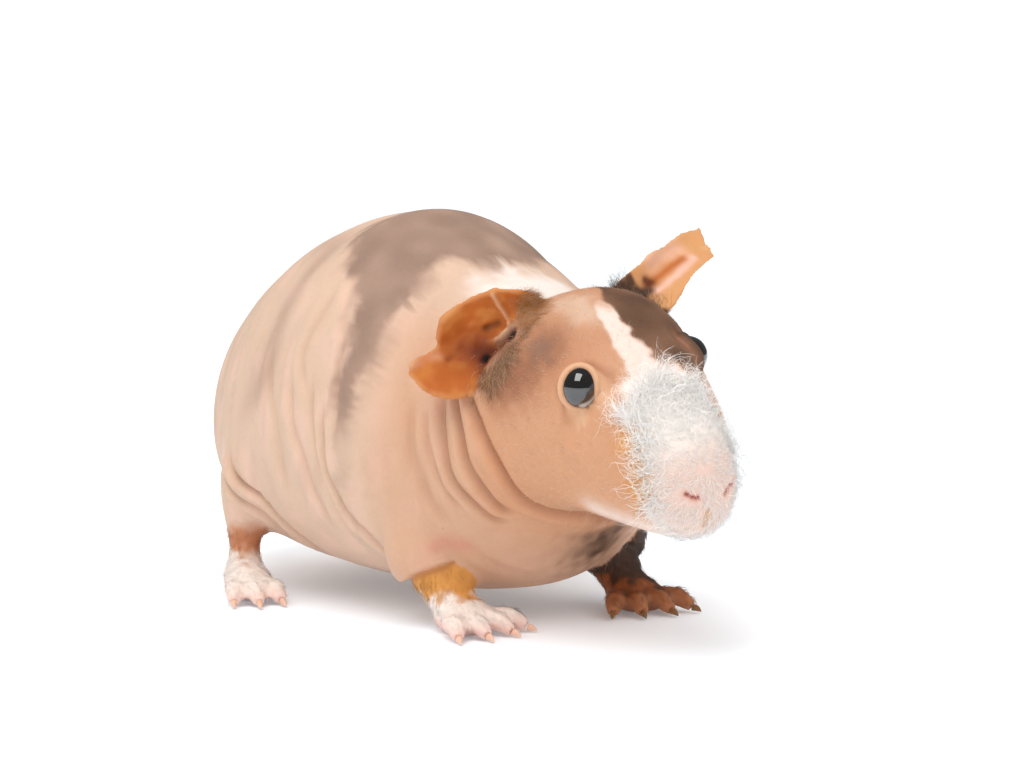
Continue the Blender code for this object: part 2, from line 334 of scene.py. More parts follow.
def carryRegions(target, source):
    # geometry nodes that give every point of the target the region of the nearest solid
    tree = bpy.data.node_groups.new("carryRegions", "GeometryNodeTree")
    for way in ("INPUT", "OUTPUT"):
        tree.interface.new_socket("Geometry", in_out=way, socket_type="NodeSocketGeometry")
    nodes, vector = Nodes(tree), {"data_type": "FLOAT_VECTOR"}
    solids = nodes.node("GeometryNodeObjectInfo", inputs={"Object": source}, output="Geometry")
    region = nodes.node("GeometryNodeInputNamedAttribute", vector, {"Name": "region"}, "Attribute")
    nearest = nodes.node("GeometryNodeSampleNearestSurface", vector, {"Mesh": solids, "Value": region}, "Value")
    values = {"Geometry": nodes.node("NodeGroupInput"), "Name": "region", "Value": nearest}
    stored = nodes.node("GeometryNodeStoreNamedAttribute", {**vector, "domain": "POINT"}, values, "Geometry")
    tree.links.new(stored.socket, tree.nodes.new("NodeGroupOutput").inputs[0])
    target.modifiers.new("carryRegions", "NODES").node_group = tree


def settled(piece):
    # the piece's mesh as its modifiers leave it
    graph = bpy.context.evaluated_depsgraph_get()
    mesh = bpy.data.meshes.new_from_object(piece.evaluated_get(graph))
    piece.modifiers.clear()
    piece.data = mesh
    return mesh


def roughSkin():
    solids = joinedSolids()
    skin = solids.copy()
    skin.data = solids.data.copy()
    skin.name = "skin"
    bpy.context.scene.collection.objects.link(skin)
    remesh = skin.modifiers.new("remesh", "REMESH")
    remesh.mode = "VOXEL"
    remesh.voxel_size = skinMaking["grain"] * mm
    carryRegions(skin, solids)
    mesh = settled(skin)
    points, edges = toBody(pointsOf(mesh)), edgesOf(mesh)
    ear, foot, leg = regionsOf(mesh)
    head = toHead(points)
    amount = 0.5 - 0.2 * ramp(head[:, 0], 5, 20) - 0.12 * leg
    amount = amount * (1 - 0.94 * foot) * (1 - 0.955 * ear)
    amount = relax(np.repeat(amount[:, None], 3, axis=1), edges, np.full(len(points), 0.5), 6)[:, 0]
    raggedRim = alongStroke(points, [(47, -33.5, 96.8), (48, -35.5, 95.3), (46.8, -39, 93.2), (46, -42.2, 91)])
    amount = np.maximum(amount, 0.07 * bell(raggedRim, 1.8))
    points = relax(points, edges, amount, skinMaking["rounds"])
    inwards = skinMaking["swell"] * (1 - 0.5 * ear)
    points = points - normalsFor(points, trianglesOf(mesh)) * inwards[:, None]
    points = relax(points, edges, 0.45 * bell(raggedRim, 1.6), 6)
    moveTo(mesh, points)
    bpy.data.objects.remove(solids)
    return skin


# each fold's line is (degrees round the body, mm along it), and its numbers are in mm: the
# valley's depth and width, then the roll behind it with its height, its place and its spread
foldParts = ("line", "depth", "width", "roll", "behind", "spread")
folds = {
    "jaw": (
        [(60, -45), (67, -46.1), (79, -49.3), (90, -52), (102, -54.4), (114, -55.3), (130, -55.3),
         (149, -54.4), (169, -53.9), (180, -53.9)],
        2.3, 0.9, 1.2, 2.6, 1.9,
    ),
    "neckFirst": (
        [(66, -41), (69, -41.4), (81, -43.8), (91, -45.5), (103, -46.8), (114, -48), (126, -49.5)],
        1.8, 0.75, 0.9, 2.0, 1.4,
    ),
    "neckSecond": (
        [(69, -37), (72, -37.2), (86, -38.9), (96, -40.2), (107, -42.6), (118, -44.8), (130, -47)],
        1.5, 0.75, 0.8, 2.2, 1.6,
    ),
    "neckThird": (
        [(76, -34), (86, -35), (97, -36.6), (107, -39), (116, -41.4)],
        0.9, 0.7, 0.5, 2.0, 1.4,
    ),
    "shoulder": (
        [(74, -28.6), (82, -29.4), (95, -31), (105, -32.8), (118, -35.6)],
        0.8, 1.6, 0.55, 3.5, 2.4,
    ),
    "flankFirst": (
        [(80, 1), (91, 0), (102, -0.9), (113, -5.4), (123, -9.2), (130, -12.8)],
        1.0, 0.9, 0.7, 2.6, 2.0,
    ),
    "flankSecond": (
        [(74, 8), (81, 6.5), (92, 4.1), (102, 1.1), (112, -1.7), (121, -4)],
        0.8, 1.0, 0.6, 2.6, 1.8,
    ),
    "flankThird": (
        [(76, 16.5), (84, 15.4), (92, 11.9), (101, 8.4), (110, 5.2), (118, 3)],
        0.8, 1.1, 0.6, 3.0, 2.2,
    ),
    "flankFourth": (
        [(66, 31), (74, 28.6), (86, 23.5), (97, 19.8), (108, 17)],
        0.55, 1.8, 0.45, 4.0, 2.6,
    ),
    "upperFirst": (
        [(44, 12), (52, 12.2), (62, 13.5), (67, 13.7), (75, 9.8), (80, 7.9)],
        0.6, 1.3, 0.5, 3.2, 2.2,
    ),
    "upperSecond": (
        [(38, 8.5), (46, 5.9), (62, 0.1), (78, -4.1), (87, -4.7)],
        0.55, 1.3, 0.45, 3.0, 2.0,
    ),
    "thigh": (
        [(104, 49), (109, 43), (112, 39.3), (117, 31.9), (125, 26.8), (136, 24)],
        1.7, 1.4, 0.9, 3.4, 2.4,
    ),
    "thighSecond": (
        [(109, 49.5), (112, 47.1), (115, 42.5), (121, 38.5), (130, 36.5)],
        1.0, 0.9, 0.7, 2.4, 1.6,
    ),
}
folds = {name: dict(zip(foldParts, values)) for name, values in folds.items()}


def nearFolds(points):
    turn, along = roundBody(points), points[:, 1]
    near = np.zeros(len(points), bool)
    for fold in folds.values():
        line = fold["line"]
        for side in (turn, -turn):
            gap = along - lineThrough(line, side)
            beside = (side > line[0][0] - 5) & (side < line[-1][0] + 5)
            near |= (np.abs(gap - 0.3 * fold["behind"]) < 2.4) & beside
    return near


def thinOut(skin, front, back, share):
    # the broad parts from front to back along the body need fewer triangles than the rest
    mesh = skin.data
    points = toBody(pointsOf(mesh))
    ear, foot, leg = regionsOf(mesh)
    along = points[:, 1]
    fine = (ear + foot + leg * (points[:, 2] < 22) > 0.02) | (points[:, 2] < 7)
    fine |= (along < front) | (along > back) | nearFolds(points)
    mesh.vertices.foreach_set("select", ~fine)
    edges = edgesOf(mesh)
    mesh.edges.foreach_set("select", ~fine[edges].any(axis=1))
    corners = readArray(mesh.loops, "vertex_index")
    starts = readArray(mesh.polygons, "loop_start")
    mesh.polygons.foreach_set("select", ~np.logical_or.reduceat(fine[corners], starts))
    for other in bpy.context.selected_objects:
        other.select_set(False)
    skin.select_set(True)
    bpy.context.view_layer.objects.active = skin
    bpy.ops.object.mode_set(mode="EDIT")
    bpy.ops.mesh.decimate(ratio=share)
    bpy.ops.object.mode_set(mode="OBJECT")


def refineNear(skin, spots):
    # every edge within reach of a spot is cut in two
    bm = bmesh.new()
    bm.from_mesh(skin.data)
    points = toBody(np.array([v.co for v in bm.verts]))
    near = np.zeros(len(points), bool)
    for centre, reach in spots:
        near |= awayFrom(points, centre) < reach
    chosen = [e for e in bm.edges if near[e.verts[0].index] and near[e.verts[1].index]]
    bmesh.ops.subdivide_edges(bm, edges=chosen, cuts=1, use_grid_fill=True)
    bm.to_mesh(skin.data)
    bm.free()


skin = roughSkin()
print("skin remeshed:", len(skin.data.vertices), "points")
thinOut(skin, -36, 200, skinMaking["trunkShare"])
thinOut(skin, -58, -36, skinMaking["neckShare"])
eyes = {
    "right": {"ball": "eye_right", "gaze": (0.80, -0.56, 0.20), "side": -1, "lid": "lid",
              "shift": (-0.9, 0.4, 0.6)},
    "left": {"ball": "eye_left", "gaze": (0.36, 0.88, 0.30), "side": 1, "lid": "umber",
             "shift": (0, 0, 0.4)},
}
for eye in eyes.values():
    low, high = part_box(eye["ball"])
    eye["centre"] = toBody((low + high) / 2) + np.array(eye["shift"])
    eye["radius"] = (high.z - low.z) / 2 / mm
noseTip = fromHead([31.0, -2.4, -12.0])
refineNear(skin, [(eye["centre"], 9.5) for eye in eyes.values()] + [(noseTip, 12.0), ((-26, -49, 73), 7.5)])
print("skin refined:", len(skin.data.vertices), "points,", len(trianglesOf(skin.data)), "triangles")


def foldHeight(turn, along, fold, shift=0.0):
    # a narrow valley along the fold's line, with a soft roll of skin behind it
    line = fold["line"]
    gap = along - lineThrough(line, turn) - shift
    fade = ramp(turn, line[0][0] - 6, line[0][0] + 5) * (1 - ramp(turn, line[-1][0] - 5, line[-1][0] + 6))
    roll = fold["roll"] * bell(gap - fold["behind"], fold["spread"])
    return fade * (roll - fold["depth"] * bell(gap, fold["width"]))


def foldsOver(points, region):
    ear, foot, leg = region
    turn, along = roundBody(points), points[:, 1]
    wander = softNoise(points, 9, 21) * 0.5
    height = np.zeros(len(points))
    for order, fold in enumerate(folds.values()):
        height += foldHeight(turn, along + wander, fold)
        height += foldHeight(-turn, along + wander * 1.6, fold, shift=1.2 * math.sin(2.3 * order))
    return height * (1 - ear) * (1 - foot)


def wrinklesOver(points, region):
    # fine rings across the body that come and go, stronger on the neck and behind the legs
    ear, foot, leg = region
    turn, along = roundBody(points), points[:, 1]
    neck = ramp(along, -54, -47) * (1 - ramp(along, -33, -24)) * ramp(np.abs(turn), 34, 60)
    flank = ramp(along, -12, 2) * (1 - ramp(along, 30, 52)) * ramp(np.abs(turn), 35, 70)
    rings = np.sin((along + 1.8 * softNoise(points, 16, 5)) * 2 * math.pi / 4.6)
    patches = ramp(softNoise(points, 14, 8), -0.3, 0.9)
    broad = softNoise(points, 15, 12, stretch=(2, 0.6, 2))
    height = 0.26 * rings * patches * (neck + 0.75 * flank) + 0.3 * broad * ramp(along, -46, -30)
    return height * (1 - ear) * (1 - foot) * (1 - 0.6 * leg)


lids = {
    "halfWide": 40.0,  # degrees from the middle of the opening to its edge
    "halfTall": 56.0,
    "corner": 27.0,  # how much further the front corner reaches
    "cornerTurn": -50.0,
    "rim": 0.55,  # mm that the rim stands off the eyeball
}


def eyeAxes(eye):
    gaze = unit(np.array(eye["gaze"]) @ headAxes)
    ahead = headAxes[0] - gaze * (headAxes[0] @ gaze)
    ahead = unit(ahead)
    upward = np.cross(gaze, ahead) * eye["side"]
    if upward[2] < 0:
        upward = -upward
    return gaze, ahead, upward


def lidEdge(points, eye):
    # mm along the eyeball from the edge of the eye's opening, negative inside it
    gaze, ahead, upward = eyeAxes(eye)
    spoke = points - eye["centre"]
    reach = np.linalg.norm(spoke, axis=1)
    way = spoke / reach[:, None]
    swing = np.degrees(np.arccos(np.clip(way @ gaze, -1, 1)))
    turn = np.degrees(np.arctan2(way @ upward, way @ ahead))
    wide, tall = lids["halfWide"], lids["halfTall"]
    oval = 1 / np.sqrt((np.cos(np.radians(turn)) / wide) ** 2 + (np.sin(np.radians(turn)) / tall) ** 2)
    offCorner = (turn - lids["cornerTurn"] + 180) % 360 - 180
    opening = oval + lids["corner"] * np.exp(-np.abs(offCorner / 20) ** 1.1)
    return np.radians(swing - opening) * eye["radius"], reach, way, offCorner


def fitLids(points, eye):
    # each point keeps its direction from the eyeball's centre and takes a distance that gives
    # a sloping inner edge, a rounded rim, a crease round it and then the old skin again
    gap, reach, way, offCorner = lidEdge(points, eye)
    ball, plain = eye["radius"], 1 - bell(offCorner, 34)
    rim = lids["rim"]
    slope = ball + np.clip(gap * 1.1, -1.2, rim)
    lid = slope + plain * (0.2 * bell(gap - 1.2, 0.7) - 0.25 * bell(gap - 2.5, 0.4))
    skinward = np.maximum(reach, ball + rim - 0.1)
    crease = plain * (-0.3 * bell(gap - 2.6, 0.38) + 0.2 * bell(gap - 3.8, 0.8))
    outside = skinward + crease * ramp(gap, 1.5, 2.4)
    wide = 6.0 * (1 - plain)
    distance = lid + (outside - lid) * np.clip((gap - 1.2) / (2.0 + wide), 0, 1)
    fade = (1 - ramp((gap - 4.2) / (2.2 + wide), 0, 1)) * (1 - ramp(reach, ball + 6, ball + 10))
    return points + way * (fade * (distance - reach))[:, None]


face = {
    "nostrils": [
        [(30.7, -7.9, -12.2), (31.0, -6.6, -13.3), (31.3, -5.3, -13.8)],
        [(29.1, 6.1, -13.3), (30.4, 3.9, -13.7), (31.0, 2.2, -14.9)],
    ],
    "nostrilDepth": 1.3,
    "philtrum": [(30.9, -3.0, -17.5), (30.5, -3.6, -19.1), (29.5, -4.0, -20.9)],
    "mouth": [
        [(30.2, -4.4, -20.7), (28.6, -7.4, -21.4), (26.0, -10.2, -21.2), (22.0, -12.4, -20.4)],
        [(30.2, -4.4, -20.7), (28.6, -1.0, -22.0), (26.0, 3.0, -22.6), (22.0, 6.0, -22.0)],
    ],
}


def faceHeight(points):
    head = toHead(points)
    height = np.zeros(len(points))
    for nostril in face["nostrils"]:
        away = alongStroke(head, nostril)
        height += -face["nostrilDepth"] * bell(away, 0.36) + 0.14 * bell(away - 1.4, 0.9)
    height -= 0.6 * bell(alongStroke(head, face["philtrum"]), 0.4)
    for side in face["mouth"]:
        away = alongStroke(head, side)
        height += -0.22 * bell(away, 0.5) + 0.08 * bell(away - 1.6, 0.9)
    return height * (head[:, 0] > 12)


# relief inside the right ear, as lines on its front: height and width in mm
earRelief = [
    {"line": [(-27.2, -51.0, 84), (-25.2, -50.3, 81.5), (-23.3, -50.5, 78.8), (-22.6, -51.5, 76.5)],
     "height": 0.9, "width": 0.75},
    {"line": [(-23.3, -51.3, 75.2), (-25.3, -49.4, 73.0), (-27.9, -46.7, 72.9)], "height": 0.9, "width": 0.7},
    {"line": [(-32.8, -44.6, 67.4), (-30.3, -45.6, 66.8)], "height": 0.6, "width": 0.7},
    {"line": [(-24.1, -48.3, 76.9), (-26.0, -46.8, 75.9)], "height": -0.9, "width": 1.1},
    {"line": [(-22.6, -53.0, 74.3), (-23.6, -50.8, 72.5), (-25.1, -48.9, 70.8), (-27.2, -47.8, 68.0)],
     "height": -1.8, "width": 1.1},
    {"line": [(-34.6, -42.6, 68.2), (-30.4, -43.1, 71.3), (-28.8, -43.3, 72.9)], "height": -0.6, "width": 0.7},
    {"line": [(-28.8, -43.3, 72.9), (-28.6, -45.6, 69.8), (-26.5, -47.5, 69.8)], "height": -0.7, "width": 0.8},
]
earRim = [(-23, -55, 85), (-26.5, -52, 85.5), (-33, -46.5, 82.3), (-38, -43.5, 77), (-37, -41, 71),
          (-41.5, -39.5, 69), (-44.4, -39.5, 65.5), (-41, -43, 60.5), (-35, -46, 58.8), (-30.5, -47, 60.5)]


def earHeight(points, normals, region):
    facing = ramp(normals @ np.array([-0.545, -0.839, 0.0]), 0.0, 0.5)
    height = softNoise(points, 5.0, 31) * 0.22 * region[0]
    height += 0.4 * region[0] * bell(alongStroke(points, earRim), 1.3)
    for mark in earRelief:
        height += mark["height"] * facing * bell(alongStroke(points, mark["line"]), mark["width"])
    return height


def hemHeight(points):
    # height over the floor at which the loose skin of the shoulder ends round a front leg
    across = -0.839 * np.abs(points[:, 0]) - 0.545 * points[:, 1]
    return 14.5 + 0.35 * (across + 14) - 3.0 * bell(across + 17.5, 2.5)


def sleeveHeight(points, region):
    # skin that hangs over the forearm like a sleeve, longest at the elbow
    above = points[:, 2] - hemHeight(points)
    near = region[2] * ramp(-points[:, 1], 4, 10)
    elbow = awayFrom(np.abs(points), (30.5, 16.5, 13.5), (4, 4, 5))
    height = 1.5 * ramp(above, -0.5, 0.5) * (1 - ramp(above, 5, 15)) - 0.5 * bell(above + 1.3, 0.8)
    return near * (height + 1.8 * bell(elbow, 1.0) * ramp(above, -1.5, 0.5))


def shapeSkin(skin):
    mesh = skin.data
    points, triangles = toBody(pointsOf(mesh)), trianglesOf(mesh)
    region = regionsOf(mesh)
    normals = normalsFor(points, triangles)
    soft = relax(region.T, edgesOf(mesh), np.full(len(points), 0.5), 8).T
    height = foldsOver(points, region) + wrinklesOver(points, region)
    height += faceHeight(points) + earHeight(points, normals, region) + sleeveHeight(points, soft)
    height *= ramp(points[:, 2], 0.3, 3.0)
    plain = points
    points = points + normals * height[:, None]
    for eye in eyes.values():
        points = fitLids(points, eye)
    points[:, 2] = np.maximum(points[:, 2], 0.0)
    moveTo(mesh, points)
    return points, plain, region


skinPoints, plainPoints, skinRegion = shapeSkin(skin)
print("folds, lids and nose shaped")

tones = {
    "peach": "CFB19B",
    "tan": "C7906B",
    "brow": "B98462",
    "russet": "A16C4F",
    "white": "EBE0D9",
    "muzzle": "EDDBD1",
    "sock": "F6ECE4",
    "nostril": "A83E2E",
    "nose": "DDBBAC",
    "saddle": "927869",
    "umber": "4A3426",
    "rust": "B4642A",
    "earRust": "B05E20",
    "amber": "D2934C",
    "farAmber": "CD9562",
    "earShade": "5A220A",
    "conchaShade": "8A3C14",
    "canalShade": "0C0605",
    "pink": "EBBFB2",
    "rose": "C9675A",
    "blackBrown": "1C0C06",
    "lid": "D9AE8C",
    "grey": "7D6A60",
}
tones = {name: colourOfHex(code) for name, code in tones.items()}
saddleFront = [(-90, -7), (-70, -9), (-50, -12), (-34, -9.5), (-22, -9), (-12, -13), (5, -18), (11, -12.6),
               (15, -5), (26, -10), (39, -10), (54, -13), (70, -10.5), (84, -8.6), (92, -7)]
saddleRear = [(-92, -7), (-84, -3), (-66, 0), (-50, 5), (-34, 17), (-18, 25), (10, 25), (20, 25), (34, 15.7),
              (45, 3.6), (55, 0.7), (65, -1), (78, -3), (86, -4.6), (92, -7)]
orangeSpots = [(19.8, -14.3, 0.3), (23.1, -14.7, -6.9), (22.7, -15.1, -11.2)]
muzzleEdge = [(-26, 19), (-20, 21.5), (-17, 19.9), (-12, 22.2), (-7.6, 21.7), (-3, 20.6), (1.2, 19.6),
              (7.4, 16), (11.2, 14.7), (14.3, 13.4), (20, 12)]
blazeRight = [(-30, 2.0), (-9, 1.5), (-6.7, -0.9), (-3.3, -3.1), (0.6, -4.1), (5.2, -5.2), (11, -6.5), (30, -9)]
blazeLeft = [(-30, 9.0), (-13.4, 4.6), (-9.5, 2.4), (-6.7, 1.2), (0.7, 1.0), (4.7, 1.3), (8.4, 1.7), (30, 1.5)]


def muzzleReach(head):
    return head[:, 0] - lineThrough(muzzleEdge, head[:, 2], 2.0) - 1.8 * (1 - ramp(head[:, 2], 0, 7))


def markingsAndPaintedLight(points, shaped, region):
    # the animal's colours, with painted shade in the fold valleys, the lid crease, the ear's hollows and
    # grooves and under the sleeve's hem, and painted highlights on the ear's ridges, painted one over another
    # by where the skin lay before its folds were pressed in; skin and hair both take them from here
    ear, foot, leg = region
    turn, along, up = roundBody(points), points[:, 1], points[:, 2]
    head = toHead(points)
    ahead, left, high = head.T
    fray = softNoise(points, 3.0, 41) * 0.8 + softNoise(points, 1.4, 43) * 0.4
    mottle = softNoise(points, 7.0, 44)
    body = 1 - ear
    spine = np.abs(turn)
    colours = np.tile(tones["peach"], (len(points), 1))

    def paint(tone, mask):
        colours[:] += (tones[tone] - colours) * np.clip(mask, 0, 1)[:, None]

    def stroke(line, width, ragged=0.0, places=points):
        return bell(alongStroke(places, line) + ragged * fray, width)

    def spot(place, width, ragged=0.0, scale=(1, 1, 1)):
        return bell(awayFrom(points, place, scale) + ragged * fray, width)

    paint("pink", 0.25 * ramp(mottle, 0, 1.2) + 0.15 * ramp(up, 22, 10))
    dapple = softNoise(points, 6.0, 46, stretch=(1.6, 0.5, 1.6))
    paint("saddle", 0.16 * ramp(dapple, 0.2, 1.4) * ramp(spine, 15, 35) * (1 - ramp(spine, 95, 130)))
    # tanned shoulders, neck and head
    paint("tan", 0.5 * ramp(-along, 8, 26) * ramp(spine, 25, 50))
    onHead = 1 - ramp(along + fray, -54, -40)
    paint("tan", onHead * 0.75)
    paint("brow", 0.8 * onHead * ramp(high, 4, 20) * ramp(-ahead, -16, 0))
    temple = stroke([(-18, -23, 12), (-11, -20.5, 16), (-7, -16.5, 22)], 6.0, 1, head)
    paint("russet", 0.95 * temple * body)
    paint("umber", 0.18 * temple * body)
    crown = stroke([(-14, -6.5, 29.6), (-9.6, -5.0, 29.4), (-4.5, -4.5, 27.2)], 4.5, 1, head)
    paint("peach", 0.75 * crown)
    # grey stripe over the rump
    stripe = bell(along - 38 - 6 * softNoise(points, 22, 47), 6.5) * ramp(spine, 12, 30)
    paint("saddle", 0.42 * stripe * (1 - ramp(spine, 76, 96)))
    # saddle
    streak = fray * 0.8 + 1.2 * softNoise(points, 3.6, 49, stretch=(3, 0.7, 3))
    edgeFront = lineThrough(saddleFront, turn)
    edgeRear = lineThrough(saddleRear, turn)
    saddle = ramp(along - edgeFront + streak, -3.4, 3.4)
    saddle = saddle * (1 - ramp(along - edgeRear + streak * 1.3, -4.5, 3.8))
    paint("saddle", (0.92 - 0.08 * mottle) * saddle * body * (1 - foot) * (1 - leg))
    # white nape and blaze
    nape = ramp(along + 2 * fray, -56, -50) * (1 - ramp(along + 2 * fray, -24, -14))
    nape = nape * (1 - ramp(np.abs(turn + 2), 16, 30))
    paint("white", 0.95 * nape * body)
    edgeRight, edgeLeft = lineThrough(blazeRight, ahead, 1.5), lineThrough(blazeLeft, ahead, 1.5)
    blaze = ramp(left - edgeRight + 0.6 * fray, -0.6, 0.8) * (1 - ramp(left - edgeLeft + 0.6 * fray, -0.8, 0.6))
    blaze = blaze * ramp(ahead + fray, -7.5, -2) * ramp(high, 4, 9)
    # dark patch from the left ear over the brow to the left eye
    patch = ramp(left - edgeLeft + 0.6 * fray, -0.6, 0.7) * ramp(ahead + fray, -20, -15)
    patch = patch * (1 - ramp(ahead + fray, 11, 15)) * ramp(high + fray, 3, 8)
    paint("umber", (0.82 - 0.1 * mottle) * patch * body)
    paint("muzzle", 0.85 * blaze * body)
    # painted shade: the valleys of the folds are darker and redder
    foldShade = np.clip(-foldsOver(points, region), 0, 2) / 2
    paint("russet", 0.5 * foldShade * body)
    # muzzle, lips and chin
    reach = muzzleReach(head) + 0.8 * fray
    paint("muzzle", 0.95 * ramp(reach, -1.2, 1.2) * body)
    paint("sock", 0.85 * ramp(reach, 0, 3) * ramp(high, -6, 3) * body)
    paint("white", 0.6 * ramp(-high, 18, 23) * ramp(ahead, 2, 10) * body)
    jawEdge = [(6, -19, -17), (10.9, -17.0, -18.5), (14.4, -15.8, -19.5), (21, -13.4, -21)]
    paint("muzzle", 0.75 * stroke(jawEdge, 3.6, 0, head) * body)
    for place in orangeSpots:
        paint("amber", 0.95 * bell(awayFrom(head, place) + 0.5 * fray, 3.3) * body)
    nose = ramp(ahead, 23, 30) * ramp(-high, 0, 9)
    paint("nose", 0.75 * nose)
    for nostril, depth in zip(face["nostrils"], (1.0, 0.6)):
        paint("rose", 0.4 * stroke(nostril, 1.1, 0, head))
        paint("nostril", depth * stroke(nostril, 0.45, 0, head))
    paint("amber", 0.8 * stroke(face["philtrum"], 0.6, 0, head))
    for line in face["mouth"]:
        paint("amber", 0.12 * stroke(line, 0.6, 0, head) * (ahead > 12))
    # chest and throat
    paint("umber", spot((8.5, -43, 21), 1.0, 0.2, (8.5, 10, 9)) * (1 - leg) * (1 - foot))
    armpit = stroke([(-31.4, -32.1, 21.5), (-28.6, -34.5, 22.3), (-25.6, -36.6, 21.6)], 2.4)
    paint("rose", 0.28 * armpit)
    # eyelids
    for eye in eyes.values():
        gap, reachOut, way, offCorner = lidEdge(shaped, eye)
        onLid = (reachOut < eye["radius"] + 4) & (gap < 6)
        atBall = 1 - ramp(reachOut - eye["radius"], 0.1, 0.5)
        upper = bell(np.abs(offCorner) - 110, 60)
        paint(eye["lid"], np.where(onLid, 0.7 * bell(gap - 0.9, 1.0), 0))
        # painted shade: a darker line in the crease over the upper lid
        paint("russet", np.where(onLid, 0.7 * upper * bell(gap - 2.6, 0.4), 0))
        paint("blackBrown", 0.8 * (1 - ramp(gap, -0.25, 0.3)) * atBall)
    # ears
    isRight = points[:, 0] < 0
    rightEar, leftEar = ear * isRight, ear * ~isRight
    paint("earRust", rightEar)
    paint("amber", 0.3 * rightEar * ramp(fray, -0.6, 1.4))
    paint("farAmber", 0.6 * rightEar * stroke(earRim, 0.9))
    # painted highlight: a pale strip along the folded top edge of the lower lobe
    paint("lid", 0.45 * rightEar * stroke([(-43, -40, 67), (-40, -41.5, 69.0), (-36.8, -41.8, 69.1)], 1.2))
    # painted shade in the hollow of the ear's bowl and round its canal
    paint("conchaShade", 0.9 * spot((-29.5, -45.5, 70.4), 0.95, 0.15, (6.5, 5, 4.5)) * ear)
    paint("earShade", 0.8 * spot((-27.8, -46.8, 69.8), 3.2) * ear)
    # painted shade along the sunken grooves inside the ear
    for mark in earRelief[5:]:
        paint("earShade", 0.7 * ear * stroke(mark["line"], 0.8, 0.4))
    paint("blackBrown", 0.75 * stroke(earRelief[3]["line"], 1.0, 0.3))
    smudge = stroke([(-22.5, -55, 74.5), (-25.5, -54.5, 70), (-28, -51, 64)], 3.6, 0.7)
    paint("grey", 0.5 * smudge * body * ramp(-along, 48, 51))
    paint("grey", 0.5 * spot((-24, -65.5, 72), 4.0, 0.8) * body)
    # painted shade: the deepest groove, darkest along its middle
    paint("earShade", 0.9 * stroke(earRelief[4]["line"], 1.5, 0.4))
    paint("canalShade", 0.85 * stroke(earRelief[4]["line"], 0.6))
    # painted shade along a fold of the ear and along the canal between its two openings
    fold = [(-26.2, -48.4, 70.3), (-27.2, -47.9, 68.0), (-28.6, -48.8, 65), (-29.3, -49.5, 62)]
    paint("earShade", 0.8 * stroke(fold, 1.3, 0.3))
    paint("earShade", 0.85 * stroke([(-22.6, -52.8, 74), (-25.2, -51.2, 71.2), (-26.8, -48.2, 69)], 1.2, 0.3))
    # painted shade: near-black in the two deepest points of the canal
    for place, wide in [((-22.6, -53.2, 74.2), 1.6), ((-26.8, -47.7, 68.3), 1.2)]:
        paint("canalShade", 0.95 * (1 - ramp((awayFrom(points, place) + 0.5 * fray) / wide, 0.6, 1.5)))
    # painted highlight: pale lines along the two raised ridges inside the ear
    paint("lid", 0.65 * stroke(earRelief[0]["line"], 0.5))
    paint("lid", 0.7 * stroke(earRelief[1]["line"], 0.55))
    paint("farAmber", leftEar)
    paint("pink", 0.45 * leftEar * stroke([(26, -42, 89.3), (33.2, -39.2, 91.2), (36, -39, 92.2)], 2.6, 0.5))
    strip = stroke([(39, -42.5, 90), (30.3, -46.4, 86), (22.8, -49.4, 82.7)], 1.3, 0.3)
    paint("pink", 0.75 * strip * leftEar)
    # painted shade: a dark line along the fold of the far ear
    strip = stroke([(36, -42, 90), (31.8, -43.1, 88.2), (27, -44.6, 86), (23.3, -45.4, 84.4)], 1.4)
    paint("rust", 0.95 * strip * leftEar)
    # painted shade in the far ear's canal
    farCanal = stroke([(23.5, -45.6, 84.4), (20, -47, 82.8), (18.5, -48.5, 81)], 1.9, 0.4)
    paint("earShade", 0.95 * farCanal * leftEar)
    farCorner = alongStroke(points, [(10.5, -46.3, 80), (13, -46, 83), (16.5, -46.2, 83.6), (18.5, -47.4, 82)])
    paint("umber", 0.95 * leftEar * (1 - ramp(farCorner + 1.2 * fray, 2.0, 4.6)))
    farRoot = alongStroke(points, [(10.5, -46.5, 79), (13, -50, 78.3), (15.3, -53.3, 77.3), (17, -56.5, 75.8)])
    paint("umber", leftEar * (1 - ramp(farRoot + 1.2 * fray, 2.5, 5.5)))
    # limbs
    hind = along > 10
    limb = np.clip(leg + foot, 0, 1) * (up < 26)
    under = 1 - ramp(up - hemHeight(points), -0.8, -0.1)
    nearFront, farFront = limb * isRight * ~hind * under, limb * ~isRight * ~hind
    paint("amber", nearFront * ramp(up + fray, 7, 10))
    # painted shadow: a darker band just under the hem of the loose shoulder skin
    paint("russet", 0.6 * nearFront * ramp(up - hemHeight(points), -3.0, -0.4))
    paint("sock", 0.9 * nearFront * (1 - ramp(up + fray, 7, 10)))
    paint("pink", 0.6 * nearFront * (1 - ramp(up, 2.5, 5.5)))
    paint("rose", 0.22 * limb * isRight * (1 - ramp(up, 1.5, 3.5)))
    paint("blackBrown", 0.9 * farFront * (1 - ramp(up + fray, 20, 24)))
    paint("rust", 0.45 * farFront * ramp(-along + fray, 42, 50) * (1 - ramp(up + fray, 18, 22)))
    paint("rust", 0.6 * farFront * (1 - ramp(up + 2 * fray, 6, 10)))
    paint("brow", 0.6 * farFront * (1 - ramp(up + fray, 3, 7)))
    shank = limb * hind
    paint("rust", 0.75 * shank * ramp(up + fray, 9, 12) * (1 - ramp(up + fray, 15, 19)))
    paint("sock", 0.85 * shank * (1 - ramp(up + fray, 8, 11)))
    paint("pink", 0.6 * shank * (1 - ramp(up, 2.5, 6)))
    return colours


def setColours(mesh, colours):
    attribute = mesh.attributes.new("tone", "FLOAT_COLOR", "POINT")
    opaque = np.column_stack([colours, np.ones(len(colours))])
    attribute.data.foreach_set("color", opaque.astype(np.float32).ravel())


skinLook = {"roughness": 0.58, "subsurface": 0.12, "depth": 0.004, "pores": 0.16, "creases": 0.22}


